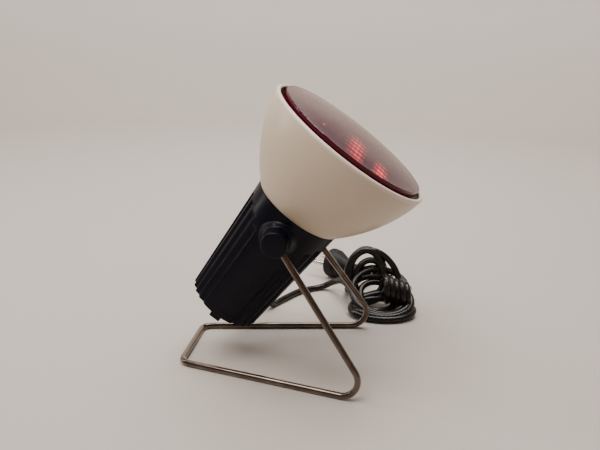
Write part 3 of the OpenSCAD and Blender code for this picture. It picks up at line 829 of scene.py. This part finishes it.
def make_housing():
    rows = [SPLIT_Z + (COLLAR_Z - SPLIT_Z - 0.6) * i / 120 for i in range(121)]
    rings = [housing_ring(housing_radius(z), z) for z in rows]
    collar_r = housing_radius(COLLAR_Z)
    edge = [(collar_r - 0.12, COLLAR_Z - 0.15), (collar_r - 0.3, COLLAR_Z)]
    seat = [
        (shade_radius(z) + 0.15, z)
        for z in [COLLAR_Z - (COLLAR_Z - SHADE_FLOOR_Z) * i / 12 for i in range(13)]
    ]
    inside = [
        (LEDGE_HOLE_R, FRONT_LEDGE_Z),
        (LEDGE_HOLE_R, FRONT_LEDGE_Z - WALL),
        bore_corner(FRONT_LEDGE_Z - WALL),
        bore_corner(REAR_LEDGE_Z),
        (LEDGE_HOLE_R, REAR_LEDGE_Z),
        (LEDGE_HOLE_R, REAR_LEDGE_Z - WALL),
        bore_corner(REAR_LEDGE_Z - WALL),
        bore_corner(SPLIT_Z),
    ]
    rings += [circle(r, z, HOUSING_SIDES) for r, z in edge + seat + inside]
    housing = loft("housing_shell", rings, LAMP, True, 40)
    cut(housing, housing_holes(), 40)
    finish_piece(housing, "head", "black_plastic", "housing")


def clamp_screw_holes(low, high):
    return [
        hole(on_circle(CLAMP_SCREW_AT, turn, low), on_circle(CLAMP_SCREW_AT, turn, high), SCREW_R)
        for turn in CLAMP_SCREW_TURNS
    ]


def plate_screw_holes(low, high):
    return [hole((x, 0, low), (x, 0, high), SCREW_R) for x in (PLATE_SCREW_AT, -PLATE_SCREW_AT)]


def housing_holes():
    """Cutters for the pivot bushes, the cord's sleeve and the screws in both ledges."""
    from_r, to_r = WALL_HOLE_SPAN
    bushes = [hole((0, side * from_r, 0), (0, side * to_r, 0), BUSH_R) for side in (1, -1)]
    sleeve_from = on_circle(from_r, CORD_ENTRY_TURN, CORD_Z)
    sleeve_to = on_circle(to_r, CORD_ENTRY_TURN, CORD_Z)
    return (
        bushes
        + [hole(sleeve_from, sleeve_to, SLEEVE_R)]
        + clamp_screw_holes(FRONT_LEDGE_Z - WALL - 1, FRONT_LEDGE_Z + 0.02)
        + plate_screw_holes(REAR_LEDGE_Z - WALL - 1, REAR_LEDGE_Z + 1)
    )


def rear_profile():
    """Radius and z of the rear cap's outside, from the split to the middle of its face."""
    r = housing_radius(SPLIT_Z)
    face_r = r - REAR_ROUNDING
    side = [(r, SPLIT_Z - 0.15), (r, -77)]
    arc = [
        (
            face_r + REAR_ROUNDING * math.cos(math.radians(a)),
            REAR_Z + REAR_ROUNDING - REAR_ROUNDING * math.sin(math.radians(a)),
        )
        for a in range(0, 91, 6)
    ]
    return side + arc + [(face_r * k / 8, REAR_Z) for k in (7, 5, 3, 1)]


def make_rear_cap():
    """Shallow cup that closes the housing, with air slots and two finger lugs."""
    rings = [housing_ring(radius, z) for radius, z in rear_profile()]
    rings.append(circle(0, REAR_Z, HOUSING_SIDES))
    bore = housing_radius(SPLIT_Z) - WALL - 2
    inner_face = REAR_Z + 2.5
    inside = [(0, inner_face), (bore, inner_face), (bore, SPLIT_Z - 0.15)]
    rings += [circle(r, z, HOUSING_SIDES) for r, z in inside]
    cap = loft("rear_cover", rings, LAMP, True, 40)
    cut(cap, [vent(i) for i in range(VENTS)] + [screw_recess(turn) for turn in REAR_SCREW_TURNS])
    finish_piece(cap, "head", "black_plastic", "rear_cap")
    make_lug("finger_lug_left", LUG_Y)
    make_lug("finger_lug_right", -LUG_Y)


def vent(i):
    """Cutter for one of the parallel air slots in the rear face."""
    y = (i - (VENTS - 1) / 2) * VENT_PITCH
    return block(f"vent_{i}", (-12, y - 1, REAR_Z - 2), (12, y + 1, REAR_Z + 5), LAMP, 0.6)


def screw_recess(turn):
    """Cutter for the recess of a rear screw's head."""
    outer = on_circle(REAR_SCREW_R, turn, REAR_Z - 2)
    inner = on_circle(REAR_SCREW_R, turn, REAR_Z + 2.2)
    return tube("recess", [outer, inner], SCREW_HEAD_R, LAMP, 32)


def make_lug(name, y):
    lug = block(name, (-4.5, y - 2.5, REAR_Z - 3.5), (4.5, y + 2.5, REAR_Z + 2.5), LAMP, 0.8)
    finish_piece(lug, "head", "black_plastic")


# ------------------------------------------------------------------ shade


def make_shade():
    steps = 64
    outer = [
        (shade_radius(z), z)
        for z in [SHADE_FLOOR_Z + (RIM_Z - 0.6 - SHADE_FLOOR_Z) * i / steps for i in range(steps + 1)]
    ]
    bead_at = SHADE_R - BEAD_R + BEAD_PROUD
    bead = [
        (bead_at + BEAD_R * math.cos(math.radians(a)), RIM_Z + BEAD_R * math.sin(math.radians(a)))
        for a in range(-20, 201, 10)
    ]
    floor_z = SHADE_FLOOR_Z + SHADE_WALL
    inner = [
        (shade_radius(z) - SHADE_WALL, z)
        for z in [RIM_Z - 1.5 - (RIM_Z - 1.5 - floor_z) * i / steps for i in range(steps + 1)]
    ]
    profile = outer + bead + inner + [(SHADE_HOLE_R, floor_z), (SHADE_HOLE_R, SHADE_FLOOR_Z)]
    shade = lathe("bowl_shade", profile, LAMP, 256)
    cut(shade, clamp_screw_holes(SHADE_FLOOR_Z - 1, floor_z + 1))
    finish_piece(shade, "head", "cream_enamel", "shade")


# ------------------------------------------------------------------ bulb


def lens_curve(radius, height, steps=28):
    """Flat dome from its edge to its middle, as (radius, height)."""
    ball = (radius**2 + height**2) / (2 * height)
    rows = [radius * (1 - i / steps) for i in range(steps + 1)]
    return [(r, math.sqrt(ball**2 - r**2) - ball + height) for r in rows]


def make_lens():
    dome = LENS_TIP_Z - LENS_Z
    shoulder = [(LENS_R, LENS_Z), (LENS_R, LENS_Z + 0.5), (LENS_R - 0.25, LENS_Z + 0.9)]
    outside = shoulder + [(r, LENS_Z + z) for r, z in lens_curve(LENS_R, dome) if z > 1.1]
    inside = [(r, LENS_Z + z) for r, z in lens_curve(LENS_R - LENS_WALL, dome - 2)]
    lens = lathe("lens", outside + inside[::-1], LAMP, 192)
    finish_piece(lens, "bulb", "lens_glass", "bulb_lens")


def make_reflector():
    steps = 40
    length = REFLECTOR_RIM_Z - REFLECTOR_BACK_Z
    rows = [REFLECTOR_BACK_Z + length * i / steps for i in range(steps + 1)]
    outer = [(reflector_radius(z), z) for z in rows]
    rim = [
        (LENS_R - 0.5, LENS_Z - 4.2),
        (LENS_R, LENS_Z - 3.2),
        (LENS_R, LENS_Z),
        (LENS_R - LENS_WALL, LENS_Z),
    ]
    inner = [(reflector_radius(z) - REFLECTOR_WALL, z) for z in rows[::-1]]
    bowl = lathe("reflector_bowl", outer + rim + inner, LAMP, 192)
    finish_piece(bowl, "bulb", "mirrored_glass", "bulb_reflector")


# ------------------------------------------------------------------ cord and plug


def lamp_point(x, y, z):
    return (LAMP @ (Vector((x, y, z)) * MM)) / MM


def cord_way(reach):
    """Point on the cord's way out of the housing, at a distance from the lamp axis."""
    a = math.radians(CORD_ENTRY_TURN)
    return lamp_point(reach * math.cos(a), reach * math.sin(a), CORD_Z)


def make_grommet():
    """Rubber sleeve with four ribs, thinner towards its end."""
    wall = housing_radius(CORD_Z)
    turn = Matrix.Rotation(math.radians(CORD_ENTRY_TURN), 4, "Z")
    rise = Matrix.Translation((0, 0, CORD_Z * MM))
    outward = Matrix.Rotation(math.pi / 2, 4, "Y")
    flange_r = 5.8
    corners = [
        (CORD_R, wall - 6, 0),
        (flange_r, wall - 6, 0.4),
        (flange_r, wall - 4, 0.4),
        (SLEEVE_R, wall - 4, 0),
        (SLEEVE_R, wall + 1.5, 0),
    ]
    for i in range(4):
        z = wall + 2.5 + i * 2.8
        rib_r = 4.9 - i * 0.25
        gap_r = rib_r - 0.7
        corners += [(rib_r, z, 0.3), (rib_r, z + 1.2, 0.3)]
        corners += [(gap_r, z + 1.4, 0.2), (gap_r, z + 2.6, 0.2)]
    corners += [(3.9, wall + SLEEVE_OUT - 0.3, 0.3), (CORD_R, wall + SLEEVE_OUT, 0)]
    grommet = lathe("cord_sleeve", rounded_profile(corners), LAMP @ turn @ rise @ outward, 48)
    finish_piece(grommet, "head", "black_rubber", "cord_grommet")


def make_lead():
    """Loose cord from the lamp down to the table and on to the bundle."""
    start = housing_radius(CORD_Z) + SLEEVE_OUT
    floor_start = (-23, 89, CORD_R)
    path = curve_through(
        [
            cord_way(start - 14),
            cord_way(start - 4),
            cord_way(start + 6),
            cord_way(start + 12),
            (-26, 67, 30),
            (-27, 78, 12),
            floor_start,
            (-15, 104, CORD_R),
            (-3, 124, CORD_R),
            (15, 138, CORD_R),
            (28, 137, CORD_R + 7),
            (38, 124, CORD_R + 14),
            hank_point(-25, -6, 17),
            hank_point(-23, -16, 12),
        ],
        14,
    )
    lead = tube("loose_cord", path, CORD_R, sides=20)
    lead.data.materials.append(LOOKS["cord_sheath"])
    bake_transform(lead)
    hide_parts("cord_lead")


def hank_point(a, d, h):
    """Point of the bundle: a to its right, d to its back, h over the table."""
    return HANK + HANK_SIDE * a + HANK_BACK * d + Vector((0, 0, max(h, CORD_R)))


def hank_loops(loops, steps=40):
    """Cord that turns once per loop; a loop is (side, back, height, width, length, lean)."""
    path = []
    for here, after in zip(loops, loops[1:]):
        for i in range(steps):
            t = i / steps
            a, d, h, rx, ry, lean = (u + (v - u) * t for u, v in zip(here, after))
            turn = 2 * math.pi * t + math.pi
            length = ry * math.sin(turn)
            side = a + rx * math.cos(turn)
            back = d + length * math.cos(math.radians(lean))
            path.append(hank_point(side, back, h + length * math.sin(math.radians(lean))))
    return path


def make_hank():
    """Folded bundle of cord: flat loops in front, half-raised ones and a raised arch behind."""
    rng = random.Random(7)
    middle = (2, -6, 17, 27, 24, 38)
    flat = (4, -20, 6, 28, 19, 8)
    short = (2, -6, 12, 20, 18, 34)
    raised = (-9, 6, 30, 18.5, 26.5, 75)
    small = (-10, 6, 21, 13, 15, 66)
    low = (-9, 4, 16, 17, 11, 50)
    front = [middle, flat, flat, short, flat, flat, middle]
    behind = [raised, small, raised, low, small, raised]
    jitter = (1.8, 2.5, 1.5, 1.5, 1.5, 3.0)
    loops = [middle] + [
        tuple(value + rng.uniform(-1, 1) * free for value, free in zip(loop, jitter))
        for loop in front + behind
    ]
    path = hank_loops(loops)
    way = [hank_point(-27, 14, 10), hank_point(-24, 32, 6)]
    neck = [plug_origin() @ Vector((x * MM, 0, 0)) / MM for x in (46, 35, 35)]
    tail = curve_through([path[-8], path[-1]] + way + neck, 12)
    bundle = tube("cord_hank", path + tail[1:], CORD_R, sides=20)
    finish_piece(bundle, "stand", "cord_sheath", "cord_coil")
    finish_piece(make_wraps(), "stand", "cord_sheath")


def make_wraps(turns=5, steps=32):
    """End of the cord wound round the bundle, its turns side by side along it."""
    path = []
    for i in range(turns * steps + 1):
        t = i / steps
        turn = 2 * math.pi * t + 0.6
        reach = 10.5 + 0.8 * math.sin(2.3 * t)
        back = -8 + reach * math.cos(turn)
        height = 21 - 1.6 * t + reach * math.sin(turn)
        path.append(hank_point(5 + 4.9 * t, back, height))
    return tube("cord_wraps", path, CORD_R, sides=20)


def plug_origin():
    """Frame of the plug: its face's middle, +x back along the cord."""
    mounts = frame["record"]["mounts"]
    pins = [Vector(mount["pos_m"]) for mount in mounts if mount["kind"] == "pin"]
    middle = sum(pins, Vector()) / len(pins)
    return Matrix.Translation(middle) @ Matrix.Rotation(math.radians(PLUG_TURN), 4, "Z")


def make_plug():
    """Round plug whose ribbed neck runs out along the cord, and its two pins."""
    head = [(0, 0, 0), (14.4, 0, 1.0), (15, 2.5, 1.0), (14.2, 9, 2.0), (9.2, 18, 4.0), (5.8, 25, 3.0)]
    neck = [
        (5.6, 27.5, 0.3),
        (4.8, 28, 0.2),
        (5.3, 30.5, 0.3),
        (4.5, 31, 0.2),
        (4.9, 33.5, 0.3),
        (4.2, 34, 0.2),
        (4.4, 36, 0.3),
        (0, 36, 0),
    ]
    matrix = plug_origin() @ Matrix.Rotation(math.pi / 2, 4, "Y")
    plug = lathe("plug_shell", rounded_profile(head + neck), matrix, 96)
    finish_piece(plug, "stand", "black_rubber", "plug_body")
    for i, y in enumerate((PIN_HALF_PITCH, -PIN_HALF_PITCH)):
        path = [(0, y, 0), (-12, y, 0), (-PIN_LENGTH, y, 0)]
        pin = tube(f"plug_pin_{i}", path, PIN_R, plug_origin(), 32, end_rounding=0.8)
        finish_piece(pin, "stand", "nickel")
    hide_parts("plug_pins")


# ------------------------------------------------------------------ carried-over CAD parts


def dress_cad_nodes():
    """Every CAD node that is still shown gets its slot's finish and soft edges."""
    for part in frame["record"]["subparts"]:
        node = frame["nodes"][part["node"]]
        if node.hide_render:
            continue
        node.data.materials.clear()
        node.data.materials.append(LOOKS[part["material_slot"]])
        shade_smooth(node, 30)


# ------------------------------------------------------------------ studio


def make_floor():
    """Pale floor that rises all round the lamp in a wide curve."""
    look = Look("studio_floor", (0.44, 0.395, 0.36), 0.55)
    look.rough(look.span(look.noise(20, 3), 0.5, 0.62))
    look.bump(look.noise(300, 3), 0.02)
    sides = 96
    section = [(300, 0), (600, 0), (FLOOR_R, 0)]
    section += [
        (FLOOR_R + FLOOR_CURVE_R * math.sin(a), FLOOR_CURVE_R - FLOOR_CURVE_R * math.cos(a))
        for a in [math.pi / 2 * i / 24 for i in range(1, 25)]
    ]
    section.append((FLOOR_R + FLOOR_CURVE_R, FLOOR_HEIGHT))
    points = [p for r, z in section for p in circle(r, z, sides)]
    faces = []
    for start in range(0, (len(section) - 1) * sides, sides):
        for k in range(sides):
            here = start + k
            beside = start + (k + 1) % sides
            faces.append((here, here + sides, beside + sides, beside))
    faces.append(tuple(range(sides)))
    mesh = bpy.data.meshes.new("studio_floor")
    mesh.from_pydata([Vector(p) * MM for p in points], [], faces)
    floor = bpy.data.objects.new("studio_floor", mesh)
    bpy.context.collection.objects.link(floor)
    mesh.materials.append(look.material)
    mesh.polygons.foreach_set("use_smooth", [True] * len(mesh.polygons))


def area_light(name, place, target, size, power, color=(1, 1, 1)):
    light = bpy.data.lights.new(name, "AREA")
    light.shape = "RECTANGLE"
    light.size, light.size_y = size
    light.energy = power
    light.color = color
    lamp = bpy.data.objects.new(name, light)
    bpy.context.collection.objects.link(lamp)
    lamp.location = place
    lamp.rotation_euler = (Vector(target) - lamp.location).to_track_quat("-Z", "Y").to_euler()


def make_lights():
    world = bpy.data.worlds.new("studio")
    world.use_nodes = True
    background = world.node_tree.nodes["Background"]
    background.inputs["Color"].default_value = (0.80, 0.84, 0.90, 1)
    background.inputs["Strength"].default_value = 0.24
    bpy.context.scene.world = world
    area_light("key", (-0.30, -0.42, 1.15), (0.02, 0, 0.1), (0.7, 0.7), 15, (1, 0.95, 0.88))
    area_light("top", (0.25, 0.15, 1.2), (0.05, 0, 0.1), (0.6, 0.6), 9, (1, 0.97, 0.93))
    area_light("side", (-0.75, 0.05, 0.55), (-0.02, 0, 0.1), (0.08, 0.8), 2.2, (1, 0.97, 0.95))
    area_light("wash", (-0.1, 0.55, 1.3), (-0.2, 1.6, 0.35), (1.2, 0.5), 28, (1, 0.96, 0.92))


def make_camera():
    """Camera in metres and radians: to the right of the lamp's near side, looking down a little."""
    place = (0.07815, -0.50455, 0.27202)
    yaw = 0.1318
    pitch = 0.3073
    roll = 0.0302
    camera = bpy.data.cameras.new("camera")
    camera.sensor_width = 36
    camera.lens = 42
    camera.clip_start = 0.01
    holder = bpy.data.objects.new("camera", camera)
    bpy.context.collection.objects.link(holder)
    turn = (
        Matrix.Rotation(yaw, 4, "Z")
        @ Matrix.Rotation(math.pi / 2 - pitch, 4, "X")
        @ Matrix.Rotation(roll, 4, "Z")
    )
    holder.matrix_world = Matrix.Translation(place) @ turn
    bpy.context.scene.camera = holder


make_wire()
make_pivot_cap(1, "cap_left", "pivot_cap_left")
make_pivot_cap(-1, "cap_right", "pivot_cap_right")
make_housing()
make_rear_cap()
make_shade()
make_lens()
make_reflector()
make_grommet()
make_lead()
make_hank()
make_plug()
dress_cad_nodes()
make_floor()
make_lights()
make_camera()
